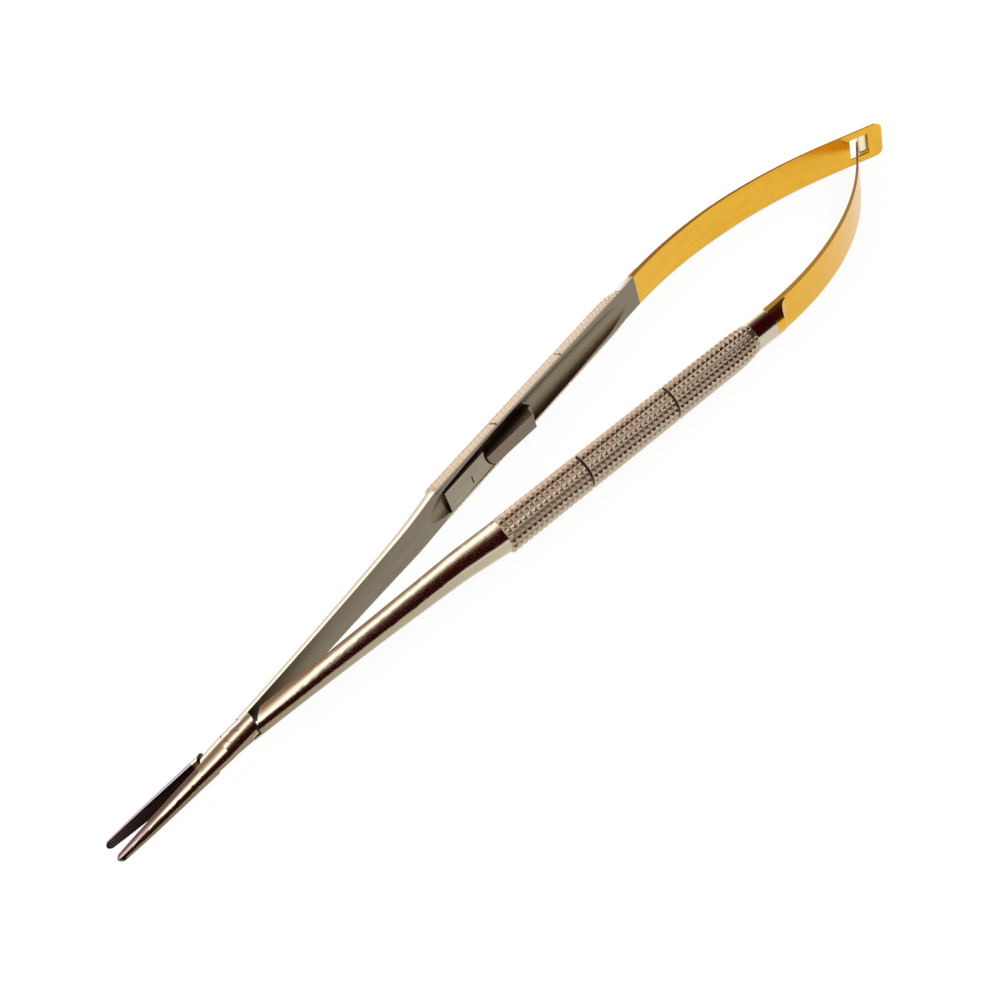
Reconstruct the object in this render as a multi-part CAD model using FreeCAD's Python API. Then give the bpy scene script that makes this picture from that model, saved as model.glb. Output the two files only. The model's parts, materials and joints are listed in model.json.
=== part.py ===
# Micro needle holder: two crossed half-round arms with knurled handles, a sprung rear end and a catch.
# It lies on its handles. X runs along it with the jaws at low X, Y goes across, Z is up and is the pivot's axis.
# Everything is worked out about the pivot, and moved at the end to the bottom centre of the whole.
import FreeCAD, Part
import math
import os
from FreeCAD import Vector

# Angles at rest, in degrees.
handle_half_angle = 7.05
jaw_half_angle = 3.8

# Lengths along an arm, from the pivot, in millimetres.
jaw_length = 21.4
shank_length = 45.2
first_ring = 61.3
second_ring = 79.5
knurl_end = 98.0
handle_end = 102.2

# Handle section.
handle_radius = 3.38
ferrule_radius = 2.85
handle_relief = 0.97
knurl_pitch = 1.0
knurl_depth = 0.25
ring_depth = 0.4
taper_length = 5.3

# Shank and jaw sections.
joint_radius = 1.82
shank_start = 1.0
shank_step = 0.03
shank_end_radius = 3.02
shank_lean = 0.007
relief_run = 12.0
relief_overlap = 3.0
shank_sections = 24
joint_run = 3.0
jaw_heel = 6.5
jaw_heel_radius = 1.58
jaw_middle = 12.0
jaw_mid_radius = 1.3
jaw_tip_radius = 0.74
tip_round = 0.75

# Lap joint.
lap_radius = 2.4
lap_level = -0.55
lap_gap = 0.04
lap_end = 5.2
lap_end_angle = 32.0
shoulder_distance = 2.8
shoulder_angle = 54.0
shoulder_gap = 0.06
facing_radius = 2.3
facing_line = 0.14
facing_line_end = 1.4
pin_radius = 0.8
pin_head_radius = 1.05
pin_head_height = 0.5
pin_gap = 0.03

# Jaw inserts.
insert_setback = 0.8
insert_thickness = 0.75

# Flute along the inner face of each handle.
flute_front = 39.5
flute_rear = 101.0
flute_front_run = 7.5
flute_rear_run = 10.0
flute_front_rise = 0.7
flute_rear_rise = 0.12
flute_half_width = 2.1
flute_depth = 0.75
flute_level = -0.25

# Catch pocket, block and pawl in the left handle.
pocket_front = 46.2
pocket_rear = 69.6
pocket_top = 1.25
pocket_bottom = -2.6
pocket_depth = 1.15
block_front_gap = 0.6
block_length = 10.0
block_top_gap = 0.12
block_slot_width = 0.25
block_slot_length = 1.4
block_slot_depth = 0.3
pawl_gap = 0.2
pawl_front_rise = 0.4
pawl_ridge_rise = 1.7
pawl_ridge_land = 0.4
pawl_back_run = 0.9
pawl_tail = 1.0
pawl_front_top = 0.05
pawl_rear_top = 0.4
pawl_bottom_gap = 0.3
pawl_floor_gap = 0.05
pawl_nose_radius = 3.2
pawl_pin_radius = 0.5
pawl_pin_depth = 0.8
pawl_pin_back = 1.6

# Tooth on the right handle.
tooth_length = 2.0
tooth_height = 1.95
tooth_width = 1.9
tooth_level = -1.25
tooth_gap = 0.3
tooth_bevel = 0.9
stem_radius = 0.7
stem_length = 1.6

# Leaf springs.
leaf_root_thickness = 1.0
leaf_tip_thickness = 0.38
leaf_half_width = 3.2
leaf_widening = 22.0
left_leaf_radius = 78.4
left_leaf_end_angle = 29.0
left_tab_beyond_window = 2.7
tab_corner_radius = 1.2
window_length = 3.8
window_half_height = 1.95
window_lead = 1.2
right_leaf_radius = 64.9
right_leaf_end_angle = 33.0
tongue_half_width = 0.75
tongue_taper_length = 11.5
hook_gap = 0.35
hook_bend_radius = 1.1
hook_leg_length = 2.0
hook_half_width = 2.3
root_length = 4.2
scoop_radius = 3.0
scoop_offset = 0.3
spigot_length = 2.2
spigot_thickness = 1.1
spigot_half_height = 1.0
spigot_inset = 0.9

# How far a cutting solid reaches past what it cuts.
reach = 12.0

Z_AXIS = Vector(0, 0, 1)
X_AXIS = Vector(1, 0, 0)
ORIGIN = Vector(0, 0, 0)


def turned(shape, degrees):
    """A copy of the shape, turned about the pivot's axis."""
    copy = shape.copy()
    copy.rotate(ORIGIN, Z_AXIS, degrees)
    return copy


def mirrored(shape):
    """The shape's mirror image on the other side of the instrument."""
    return shape.mirror(ORIGIN, Vector(0, 1, 0))


def block(u0, u1, v0, v1, z0, z1):
    """A box between two corners."""
    return Part.makeBox(u1 - u0, v1 - v0, z1 - z0, Vector(u0, v0, z0))


def closed_face(points):
    """A flat face on a closed polygon."""
    return Part.Face(Part.makePolygon(list(points) + [points[0]]))


def half_round(points, flat):
    """Half a turned solid: the profile of (length, radius) points is revolved about a line in the flat face."""
    first = points[0][0]
    last = points[-1][0]
    outline = [Vector(first, flat, 0)]
    outline += [Vector(length, flat, -radius) for length, radius in points]
    outline += [Vector(last, flat, 0)]
    if points[-1][1] == 0:
        outline.pop()
    return closed_face(outline).revolve(Vector(0, flat, 0), X_AXIS, 180)


def smooth_step(t):
    """Rises from 0 to 1 with level ends."""
    t = min(max(t, 0.0), 1.0)
    return t * t * (3 - 2 * t)


def shank_radius(u):
    """The shank stands just over the round of the joint and swells with the square of the length."""
    part = min(u / shank_length, 1.0)
    root_radius = joint_radius + shank_step
    return root_radius + (shank_end_radius - root_radius) * part * part


def shank_flat(u):
    """Where the shank's flat lies: it leans outwards, then steps smoothly to the handle's relief."""
    step_end = shank_length + relief_overlap
    step = smooth_step((u - step_end + relief_run) / relief_run)
    return shank_lean * u * (1 - step) + handle_relief * step


def shank_section(u):
    """The half-round outline of the shank at one length."""
    radius = shank_radius(u)
    flat = shank_flat(u)
    top = Vector(u, flat, radius)
    side = Vector(u, flat + radius, 0)
    bottom = Vector(u, flat, -radius)
    return Part.Wire([Part.Arc(top, side, bottom).toShape(), Part.makeLine(bottom, top)])


def shank():
    """The shank, lofted from inside the lap through evenly spaced half-round sections, so that it runs true."""
    spacing = (shank_length - shank_start) / shank_sections
    stations = [shank_start + spacing * part for part in range(shank_sections + 1)]
    return Part.makeLoft([shank_section(u) for u in stations], True, False)


def step_fill():
    """The rest of the flat's step, which runs out under the first ridges of the handle."""
    stations = [shank_length + relief_overlap * part / 6 for part in range(7)]
    curve = Part.BSplineCurve()
    curve.interpolate([Vector(u, shank_flat(u), 0) for u in stations])
    back = handle_relief + handle_radius / 2
    corners = [curve.EndPoint, Vector(stations[-1], back, 0), Vector(stations[0], back, 0), curve.StartPoint]
    edges = [curve.toShape()] + [Part.makeLine(a, b) for a, b in zip(corners, corners[1:])]
    face = Part.Face(Part.Wire(edges))
    half_height = math.sqrt(shank_end_radius ** 2 - (back - shank_flat(shank_length)) ** 2)
    face.translate(Vector(0, 0, -half_height))
    return face.extrude(Vector(0, 0, 2 * half_height))


def handle_outer_radius(u):
    """The handle's crest radius: straight, then drawn in towards the ferrule."""
    taper_start = knurl_end - taper_length
    if u <= taper_start:
        return handle_radius
    part = (u - taper_start) / taper_length
    return handle_radius - (handle_radius - ferrule_radius) * part * part


def handle():
    """The knurled half-round handle: rows of ridges, two deeper rings and a plain ferrule."""
    profile = [(shank_length, shank_end_radius)]
    bands = [(shank_length, first_ring), (first_ring, second_ring), (second_ring, knurl_end)]
    for start, end in bands:
        count = round((end - start) / knurl_pitch)
        pitch = (end - start) / count
        for ridge in range(count):
            crest = start + (ridge + 0.5) * pitch
            valley = start + (ridge + 1) * pitch
            depth = ring_depth if ridge == count - 1 else knurl_depth
            profile.append((crest, handle_outer_radius(crest)))
            profile.append((valley, handle_outer_radius(valley) - depth))
    profile[-1] = (knurl_end, ferrule_radius)
    profile.append((handle_end, ferrule_radius))
    return half_round(profile, handle_relief)


def joint_and_jaw():
    """The round bar of the joint and both jaws in one, in a jaw's own frame: a jaw is the half towards +Y."""
    body_end = jaw_length - tip_round
    back = Vector(-joint_run, 0, 0)
    shoulder = Vector(joint_run, 0, -joint_radius)
    knots = [(joint_run, joint_radius), (jaw_heel, jaw_heel_radius), (jaw_middle, jaw_mid_radius)]
    knots.append((body_end, jaw_tip_radius))
    side = Part.BSplineCurve()
    side.interpolate([Vector(length, 0, -radius) for length, radius in knots])
    middle = Vector(body_end + tip_round * math.sin(math.pi / 4), 0, -jaw_tip_radius * math.cos(math.pi / 4))
    tip = Vector(jaw_length, 0, 0)
    edges = [Part.makeLine(back, Vector(-joint_run, 0, -joint_radius))]
    edges += [Part.makeLine(Vector(-joint_run, 0, -joint_radius), shoulder), side.toShape()]
    edges += [Part.Arc(Vector(body_end, 0, -jaw_tip_radius), middle, tip).toShape(), Part.makeLine(tip, back)]
    return Part.Face(Part.Wire(edges)).revolve(ORIGIN, X_AXIS, 360)


def insert_start():
    """Where the inserts begin along the jaw: set back from the end of the slot, as that meets the jaw's flat."""
    slot_end = (lap_end + shoulder_gap) / math.cos(math.radians(lap_end_angle + jaw_half_angle))
    return slot_end + insert_setback


def insert_slab():
    """The space of a jaw insert in the jaw's own frame."""
    return block(insert_start(), jaw_length + reach, 0, insert_thickness, -reach, reach)


def left_round(radius):
    """A round bar that lies along the left arm's jaw and through the pivot."""
    bar = Part.makeCylinder(radius, 2 * reach, Vector(-reach, 0, 0), X_AXIS)
    return turned(bar, jaw_half_angle)


def beyond(angle, distance, z0, z1):
    """All that lies further from the pivot than a straight upright cut, whose normal is at the given angle."""
    side = 4 * reach
    return turned(block(distance, side, -side, side, z0, z1), angle)


def jaw_end():
    """The left arm's jaw with the round of the joint, which ends aslant beside the jaw."""
    other_side = block(0, jaw_length + reach, -reach, 0, -reach, reach)
    end = turned(beyond(180 - lap_end_angle, lap_end, -reach, reach), -180 - jaw_half_angle)
    behind = block(-reach, 0, -reach, reach, -reach, reach)
    behind = behind.cut(Part.makeCylinder(lap_radius, 2 * reach, Vector(0, 0, -reach)))
    bar = joint_and_jaw().cut([behind, other_side.common(end), insert_slab()])
    return turned(bar, 180 + jaw_half_angle)


def lap_seat(z0, z1):
    """What is milled off the right arm for the left arm's lap: a slanting slot between two shoulders.

    The jaw-side shoulder is parallel to the end of the left arm's lap when the jaws are closed.
    """
    jaw_side = beyond(180 - lap_end_angle - 2 * jaw_half_angle, lap_end + shoulder_gap, z0, z1)
    handle_side = beyond(-shoulder_angle, shoulder_distance, z0, z1)
    slot = block(-2 * reach, 2 * reach, -2 * reach, 2 * reach, z0, z1)
    return slot.cut([jaw_side, handle_side])


def facing_groove():
    """The fine arc line that the facing of the joint leaves on its jaw side."""
    outer = Part.makeCylinder(facing_radius + facing_line / 2, reach)
    ring = outer.cut(Part.makeCylinder(facing_radius - facing_line / 2, reach))
    ring = ring.common(block(-reach, 0, -facing_line_end, reach, 0, reach))
    return ring.cut(left_round(joint_radius - facing_line))


def pivot_pin_shape(gap):
    """The pin with its countersunk heads, before it is dressed flush with the round joint."""
    shank_part = Part.makeCylinder(pin_radius + gap, 2 * joint_radius, Vector(0, 0, -joint_radius))
    cone_base = joint_radius - pin_head_height
    top = Part.makeCone(pin_radius + gap, pin_head_radius + gap, pin_head_height, Vector(0, 0, cone_base))
    bottom = Part.makeCone(pin_radius + gap, pin_head_radius + gap, pin_head_height,
                           Vector(0, 0, -cone_base), Vector(0, 0, -1))
    return shank_part.fuse([top, bottom])


def spigot():
    """The tenon of a spring's root, in its socket in the handle's end."""
    v0 = handle_relief + spigot_inset
    return block(handle_end - spigot_length, handle_end, v0, v0 + spigot_thickness,
                 -spigot_half_height, spigot_half_height)


def flute_line(part, rise):
    """How deep the flute's cutter reaches below the flat, from its end (0) to its full depth (1)."""
    return (flute_depth + rise) * smooth_step(part) - rise


def flute():
    """The cutter of the long shallow flute: a slim turned spindle that lifts clear of the flat at both ends."""
    radius = (flute_half_width ** 2 + flute_depth ** 2) / (2 * flute_depth)
    flat_radius = radius - flute_depth
    steps = 6
    points = []
    for step in range(steps + 1):
        part = step / steps
        points.append((flute_front + flute_front_run * part, flat_radius + flute_line(part, flute_front_rise)))
    for step in range(steps + 1):
        part = 1 - step / steps
        points.append((flute_rear - flute_rear_run * part, flat_radius + flute_line(part, flute_rear_rise)))
    axis = handle_relief - flat_radius
    curve = Part.BSplineCurve()
    curve.interpolate([Vector(u, axis, flute_level + r) for u, r in points])
    first = Vector(points[0][0], axis, flute_level)
    last = Vector(points[-1][0], axis, flute_level)
    edges = [Part.makeLine(first, curve.StartPoint), curve.toShape()]
    edges += [Part.makeLine(curve.EndPoint, last), Part.makeLine(last, first)]
    return Part.Face(Part.Wire(edges)).revolve(first, X_AXIS, 360)


def handle_end_of_arm():
    """An arm's shank and handle on the +Y side, with the spring's socket and the flute."""
    arm = shank().fuse([handle(), step_fill()])
    return turned(arm.cut([spigot(), flute()]), handle_half_angle)


def pocket():
    """The catch pocket in the left handle's inner face."""
    return block(pocket_front, pocket_rear, handle_relief - reach, handle_relief + pocket_depth,
                 pocket_bottom, pocket_top)


def left_arm():
    """The left handle, the upper half of the lap and the jaw on the right side."""
    arm = handle_end_of_arm().fuse(jaw_end())
    seat = mirrored(lap_seat(-reach, lap_level + lap_gap / 2))
    arm = arm.cut([seat, facing_groove(), pivot_pin_shape(0)])
    return arm.cut([turned(pocket(), handle_half_angle), turned(pawl_pin(), handle_half_angle)])


def right_arm():
    """The right handle, the lower half of the lap and the jaw on the left side."""
    arm = mirrored(handle_end_of_arm().fuse(jaw_end()))
    arm = arm.cut(lap_seat(lap_level - lap_gap / 2, reach))
    return arm.cut([pivot_pin_shape(pin_gap), catch_tooth()])


def pivot_pin():
    """The rivet of the joint, dressed flush."""
    bar = left_round(joint_radius)
    return pivot_pin_shape(0).common(bar).common(mirrored(bar))


def jaw_insert():
    """The insert of the jaw on the right side, in the left arm."""
    return turned(joint_and_jaw().common(insert_slab()), 180 + jaw_half_angle)


def block_rear():
    """Where the catch block ends and the pawl's nose begins, along the handle."""
    return pocket_front + block_front_gap + block_length


def pawl_ridge():
    """Where the pawl stands highest, along the handle."""
    return pocket_rear - pawl_tail - pawl_back_run - pawl_ridge_land


def nose_cylinder(radius):
    """The upright round that shapes the pawl's nose and the hollow end of the block."""
    centre = block_rear() + pawl_nose_radius
    return Part.makeCylinder(radius, reach * 2, Vector(centre, -reach, pawl_front_top), Vector(0, 1, 0))


def catch_block():
    """The plain block in the front of the pocket, hollowed at its rear for the pawl's nose."""
    floor = handle_relief + pocket_depth
    body = block(pocket_front + block_front_gap, block_rear() + pawl_nose_radius, handle_relief, floor,
                 pocket_bottom, pocket_top - block_top_gap)
    body = body.cut(nose_cylinder(pawl_nose_radius + pawl_gap))
    behind = block(block_rear() + pawl_nose_radius / 2, pocket_rear, -reach, reach, -reach, reach)
    slot_middle = block_rear() - block_length * 0.4
    slot = block(slot_middle - block_slot_width / 2, slot_middle + block_slot_width / 2,
                 handle_relief, handle_relief + block_slot_depth,
                 flute_level - 1 - block_slot_length / 2, flute_level - 1 + block_slot_length / 2)
    return turned(body.cut([behind, slot]), handle_half_angle)


def pawl_blank():
    """The pawl's side view drawn through its full height."""
    front = block_rear()
    ridge = pawl_ridge()
    floor = handle_relief + pocket_depth - pawl_floor_gap
    tail = pocket_rear - pawl_gap
    side = [(front, floor), (front, handle_relief - pawl_front_rise), (ridge, handle_relief - pawl_ridge_rise),
            (ridge + pawl_ridge_land, handle_relief - pawl_ridge_rise),
            (ridge + pawl_ridge_land + pawl_back_run, handle_relief), (tail, handle_relief), (tail, floor)]
    face = closed_face([Vector(u, v, pocket_bottom + pawl_bottom_gap) for u, v in side])
    return face.extrude(Vector(0, 0, pocket_top - pocket_bottom - pawl_bottom_gap))


def catch_pawl():
    """The wedge-shaped pawl: its nose is round, its upper edge slants, and its pin has a close hole."""
    body = pawl_blank()
    front = block_rear()
    nose_middle = front + pawl_nose_radius
    nose = nose_cylinder(pawl_nose_radius).fuse(block(nose_middle, pocket_rear, -reach, reach, -reach, reach))
    top = [Vector(front, -reach, pawl_front_top), Vector(pocket_rear, -reach, pawl_rear_top),
           Vector(pocket_rear, -reach, reach), Vector(front, -reach, reach)]
    above = closed_face(top).extrude(Vector(0, 2 * reach, 0))
    body = body.common(nose).cut([above, pawl_pin(pin_gap)])
    return turned(body, handle_half_angle)


def pawl_pin(gap=0.0):
    """The pin that the pawl swings on, set in the pocket's floor."""
    floor = handle_relief + pocket_depth
    start = handle_relief - pawl_front_rise
    return Part.makeCylinder(pawl_pin_radius + gap, floor + pawl_pin_depth + gap - start,
                             Vector(pawl_ridge() - pawl_pin_back, start, tooth_level), Vector(0, 1, 0))


def tooth_stem():
    """The riveted stem of the tooth, inside the handle."""
    middle = pocket_rear + tooth_gap + tooth_length / 2
    return Part.makeCylinder(stem_radius, stem_length + flute_depth, Vector(middle, handle_relief, tooth_level),
                             Vector(0, 1, 0))


def catch_tooth():
    """The tooth on the right handle, bevelled on the side that meets the pawl first."""
    front = pocket_rear + tooth_gap
    rear = front + tooth_length
    tip = handle_relief - tooth_height
    foot = handle_relief + flute_depth
    side = [(front, foot), (front, tip), (rear - tooth_bevel, tip), (rear, tip + tooth_bevel), (rear, foot)]
    low = tooth_level - tooth_width / 2
    face = closed_face([Vector(u, v, low) for u, v in side])
    body = face.extrude(Vector(0, 0, tooth_width)).fuse(tooth_stem())
    return mirrored(turned(body, handle_half_angle))


def leaf_piece(start, heading, turn, radius, near, far):
    """One stretch of a leaf in plan: its inner side is a line or an arc, its outer side is offset from it.

    turn is in degrees, to the right if negative. Returns the solid, its end point and its end heading.
    """
    def across(direction):
        return Vector(-math.sin(direction), math.cos(direction), 0)

    def at(direction):
        centre = start + across(heading) * (radius if turn > 0 else -radius)
        return centre + across(direction) * (-radius if turn > 0 else radius)

    end_heading = heading + math.radians(turn)
    middle_heading = heading + math.radians(turn) / 2
    end = at(end_heading)
    middle = at(middle_heading)
    outer_start = start + across(heading) * near
    outer_middle = middle + across(middle_heading) * (near + far) / 2
    outer_end = end + across(end_heading) * far
    edges = [Part.Arc(start, middle, end).toShape(), Part.makeLine(end, outer_end)]
    edges += [Part.Arc(outer_end, outer_middle, outer_start).toShape(), Part.makeLine(outer_start, start)]
    return upright(Part.Face(Part.Wire(edges))), end, end_heading


def straight_piece(start, heading, length, thickness):
    """A straight stretch of a leaf in plan."""
    along = Vector(math.cos(heading), math.sin(heading), 0)
    across = Vector(-math.sin(heading), math.cos(heading), 0)
    end = start + along * length
    face = closed_face([start, end, end + across * thickness, start + across * thickness])
    return upright(face), end


def upright(face):
    """A plan face drawn up and down past every leaf's width."""
    face.translate(Vector(0, 0, -reach))
    return face.extrude(Vector(0, 0, 2 * reach))


def side_view(edges):
    """A side outline in X and Z, drawn through the whole width."""
    face = Part.Face(Part.Wire(edges))
    face.translate(Vector(0, -handle_end, 0))
    return face.extrude(Vector(0, 2 * handle_end, 0))


def chain(points):
    """Straight edges through side-view points."""
    corners = [Vector(x, 0, z) for x, z in points]
    return [Part.makeLine(a, b) for a, b in zip(corners, corners[1:])]


def leaf_start():
    """The inner edge of the handle's end and the handle's heading, on the +Y side."""
    heading = math.radians(handle_half_angle)
    start = turned(Part.Vertex(Vector(handle_end, handle_relief, 0)), handle_half_angle)
    return start.Point, heading


def spring_root():
    """The half-round root of a spring, scooped down to the leaf, with its tenon."""
    root = half_round([(handle_end, ferrule_radius), (handle_end + root_length, ferrule_radius)], handle_relief)
    scoop_v = handle_relief + leaf_root_thickness + scoop_radius
    scoop = Part.makeCylinder(scoop_radius, 2 * reach, Vector(handle_end + root_length + scoop_offset, scoop_v, -reach))
    return turned(root.cut(scoop).fuse(spigot()), handle_half_angle)


def left_leaf_line():
    """The straight end of the left leaf's inner side: its start and heading."""
    start, heading = leaf_start()
    turn = -(handle_half_angle + left_leaf_end_angle)
    arc, end, end_heading = leaf_piece(start, heading, turn, left_leaf_radius, leaf_root_thickness,
                                       leaf_tip_thickness)
    return arc, end, end_heading


def crossing():
    """Where the right tongue's inner side meets the left leaf's inner side, in plan."""
    arc, left_end, left_heading = left_leaf_line()
    start, heading = leaf_start()
    turn = -(handle_half_angle + right_leaf_end_angle)
    arc, end, end_heading = leaf_piece(start, heading, turn, right_leaf_radius, leaf_root_thickness,
                                       leaf_tip_thickness)
    right_end = Vector(end.x, -end.y, 0)
    right_heading = -end_heading
    slope_left = math.tan(left_heading)
    slope_right = math.tan(right_heading)
    x = (left_end.y - right_end.y + slope_right * right_end.x - slope_left * left_end.x)
    x = x / (slope_right - slope_left)
    return Vector(x, left_end.y + slope_left * (x - left_end.x), 0)


def left_spring():
    """The left leaf: it ends in a round-cornered tab with a window."""
    arc, bend_end, heading = left_leaf_line()
    across = crossing()
    along = Vector(math.cos(heading), math.sin(heading), 0)
    window_end = (across - bend_end).dot(along) - window_lead + window_length
    tab, end = straight_piece(bend_end, heading, window_end + left_tab_beyond_window, leaf_tip_thickness)
    root_x = leaf_start()[0].x - reach
    h, r = leaf_half_width, tab_corner_radius
    slant = r * math.sin(math.pi / 4)
    upper = chain([(root_x, ferrule_radius), (leaf_start()[0].x, ferrule_radius),
                   (leaf_start()[0].x + leaf_widening, h), (end.x - r, h)])
    corner = Part.Arc(Vector(end.x - r, 0, h), Vector(end.x - r + slant, 0, h - r + slant),
                      Vector(end.x, 0, h - r)).toShape()
    lower = [edge.mirror(ORIGIN, Z_AXIS) for edge in upper + [corner]]
    ends = chain([(end.x, h - r), (end.x, r - h)]) + chain([(root_x, -ferrule_radius), (root_x, ferrule_radius)])
    outline = side_view(Part.__sortEdges__(upper + [corner] + lower + ends))
    leaf = arc.fuse(tab).common(outline)
    near = across - along * window_lead
    window = block(0, window_length, -reach / 4, reach / 4, -window_half_height, window_half_height)
    window.rotate(ORIGIN, Z_AXIS, math.degrees(heading))
    window.translate(near)
    return leaf.cut(window).fuse(spring_root())


def right_spring():
    """The right leaf: it narrows to a tongue that passes the window and turns behind the tab."""
    start, heading = leaf_start()
    turn = -(handle_half_angle + right_leaf_end_angle)
    thin = leaf_tip_thickness
    arc, end, end_heading = leaf_piece(start, heading, turn, right_leaf_radius, leaf_root_thickness, thin)
    meet = crossing()
    between = math.radians(left_leaf_end_angle + right_leaf_end_angle)
    rise = 2 * thin + hook_gap - hook_bend_radius * (1 - math.cos(between))
    run = math.hypot(meet.x - end.x, meet.y + end.y) + rise / math.sin(between)
    neck, neck_end = straight_piece(end, end_heading, run, thin)
    bend, bend_end, leg_heading = leaf_piece(neck_end, end_heading, math.degrees(between), hook_bend_radius,
                                             thin, thin)
    leg, leg_end = straight_piece(bend_end, leg_heading, hook_leg_length, thin)
    root_x = start.x - reach
    h, n, w = leaf_half_width, tongue_half_width, hook_half_width
    taper_end = meet.x - 2 * thin - window_lead
    taper_start = taper_end - tongue_taper_length
    head_start = neck_end.x + thin
    taper = Part.Arc(Vector(taper_start, 0, h), Vector((taper_start + taper_end) / 2, 0, h * 0.7 + n * 0.3),
                     Vector(taper_end, 0, n)).toShape()
    upper = chain([(root_x, ferrule_radius), (start.x, ferrule_radius), (start.x + leaf_widening, h),
                   (taper_start, h)])
    upper += [taper]
    upper += chain([(taper_end, n), (head_start, n), (head_start, w), (leg_end.x + thin, w)])
    lower = [edge.mirror(ORIGIN, Z_AXIS) for edge in upper]
    ends = chain([(leg_end.x + thin, w), (leg_end.x + thin, -w)])
    ends += chain([(root_x, -ferrule_radius), (root_x, ferrule_radius)])
    outline = side_view(Part.__sortEdges__(upper + lower + ends))
    leaf = arc.fuse([neck, bend, leg]).common(outline)
    return mirrored(leaf.fuse(spring_root()))


def one_solid(shape):
    """The single solid of a finished piece."""
    if len(shape.Solids) != 1:
        print("more than one solid:", len(shape.Solids))
    return shape.Solids[0]


pieces = {
    "left_arm": left_arm(),
    "right_arm": right_arm(),
    "pivot_pin": pivot_pin(),
    "left_jaw_insert": mirrored(jaw_insert()),
    "right_jaw_insert": jaw_insert(),
    "left_spring": left_spring(),
    "right_spring": right_spring(),
    "catch_block": catch_block(),
    "catch_pawl": catch_pawl(),
    "pawl_pin": turned(pawl_pin(), handle_half_angle),
    "catch_tooth": catch_tooth(),
}

solids = {name: one_solid(shape) for name, shape in pieces.items()}
whole = Part.makeCompound(list(solids.values())).optimalBoundingBox(False, False)
shift = Vector(-(whole.XMin + whole.XMax) / 2, -(whole.YMin + whole.YMax) / 2, -whole.ZMin)

os.makedirs("parts", exist_ok=True)
for name, solid in solids.items():
    solid.translate(shift)
    solid.exportStep(os.path.join("parts", name + ".step"))
    print(name, "valid", solid.isValid(), "volume", round(solid.Volume, 2))
print("pivot is at", [round(value, 4) for value in shift])
print("size", [round(value, 3) for value in (whole.XLength, whole.YLength, whole.ZLength)])
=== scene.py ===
# %% [markdown]
# # A micro needle holder, dressed for its portrait
# The real thing is a surgeon's tool, 18 cm long: two crossed steel arms with knurled half-round handles,
# polished shanks, a lap joint, black jaw inserts, a catch, and two gilt leaf springs hooked together at the
# rear. Its solids are already packed. Here they are loaded as a fixed frame, and each piece gets its finer
# shape and its finish. Sizes of the tool are in millimetres from the pivot, and MM turns them into metres.

# %% Load the frame
import json
import math

import bpy
import numpy as np
from mathutils import Matrix, Vector


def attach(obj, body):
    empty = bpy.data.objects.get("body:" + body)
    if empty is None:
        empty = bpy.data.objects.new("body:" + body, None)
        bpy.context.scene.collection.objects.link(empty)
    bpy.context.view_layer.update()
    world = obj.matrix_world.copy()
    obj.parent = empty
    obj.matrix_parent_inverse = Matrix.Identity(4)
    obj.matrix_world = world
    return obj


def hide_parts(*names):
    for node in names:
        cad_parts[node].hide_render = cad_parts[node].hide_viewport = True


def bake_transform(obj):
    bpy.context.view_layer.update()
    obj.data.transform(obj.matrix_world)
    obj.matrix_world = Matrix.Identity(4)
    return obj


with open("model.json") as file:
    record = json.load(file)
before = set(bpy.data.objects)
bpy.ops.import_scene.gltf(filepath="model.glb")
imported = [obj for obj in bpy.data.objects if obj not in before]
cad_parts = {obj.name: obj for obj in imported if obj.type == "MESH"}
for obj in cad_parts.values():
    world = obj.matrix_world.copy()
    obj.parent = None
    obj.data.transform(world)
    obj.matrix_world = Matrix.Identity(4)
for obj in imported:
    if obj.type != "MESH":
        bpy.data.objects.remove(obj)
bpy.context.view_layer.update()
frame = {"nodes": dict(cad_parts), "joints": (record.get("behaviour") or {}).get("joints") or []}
bpy.context.scene.view_settings.view_transform = "Standard"
MM = 0.001
hinge = next(joint for joint in frame["joints"] if joint["name"] == "jaw_hinge")
PIVOT = np.array(hinge["pos_m"])

# %% [markdown]
# ## An arm's own frame
# Both arms are mirror images, so every shape is worked out once, in an arm's own frame: u runs along the
# handle from the pivot, v outwards from the middle of the tool, z up. One function brings it to the real
# place. The jaws have such a frame too, with s running from the pivot to the tip.

# %% Arm and jaw frames
HANDLE_ANGLE = math.radians(7.05)
JAW_ANGLE = math.radians(3.8)


def from_arm(side, u, v, z):
    """Arm frame to metres: turned by the handle's half angle about the pivot; side is +1 left, -1 right."""
    x = u * math.cos(HANDLE_ANGLE) - v * math.sin(HANDLE_ANGLE)
    y = u * math.sin(HANDLE_ANGLE) + v * math.cos(HANDLE_ANGLE)
    return np.stack([x, side * y, z], -1) * MM + PIVOT


def to_arm(side, points):
    """Metres to the arm frame: the same turn undone."""
    x, y, z = ((points - PIVOT) / MM).T
    y = side * y
    u = x * math.cos(HANDLE_ANGLE) + y * math.sin(HANDLE_ANGLE)
    v = -x * math.sin(HANDLE_ANGLE) + y * math.cos(HANDLE_ANGLE)
    return u, v, z


def from_jaw(side, s, v, z):
    """Jaw frame to metres: s runs to the tip, v outwards; side is +1 for the jaw at +Y."""
    x = -(s * math.cos(JAW_ANGLE) - v * math.sin(JAW_ANGLE))
    y = s * math.sin(JAW_ANGLE) + v * math.cos(JAW_ANGLE)
    return np.stack([x, side * y, z], -1) * MM + PIVOT


def to_jaw(side, points):
    """Metres to the jaw frame."""
    x, y, z = ((points - PIVOT) / MM).T
    x, y = -x, side * y
    s = x * math.cos(JAW_ANGLE) + y * math.sin(JAW_ANGLE)
    v = -x * math.sin(JAW_ANGLE) + y * math.cos(JAW_ANGLE)
    return s, v, z


print("handles open by", round(2 * math.degrees(HANDLE_ANGLE), 2), "degrees, jaws by",
      round(2 * math.degrees(JAW_ANGLE), 2))

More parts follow.
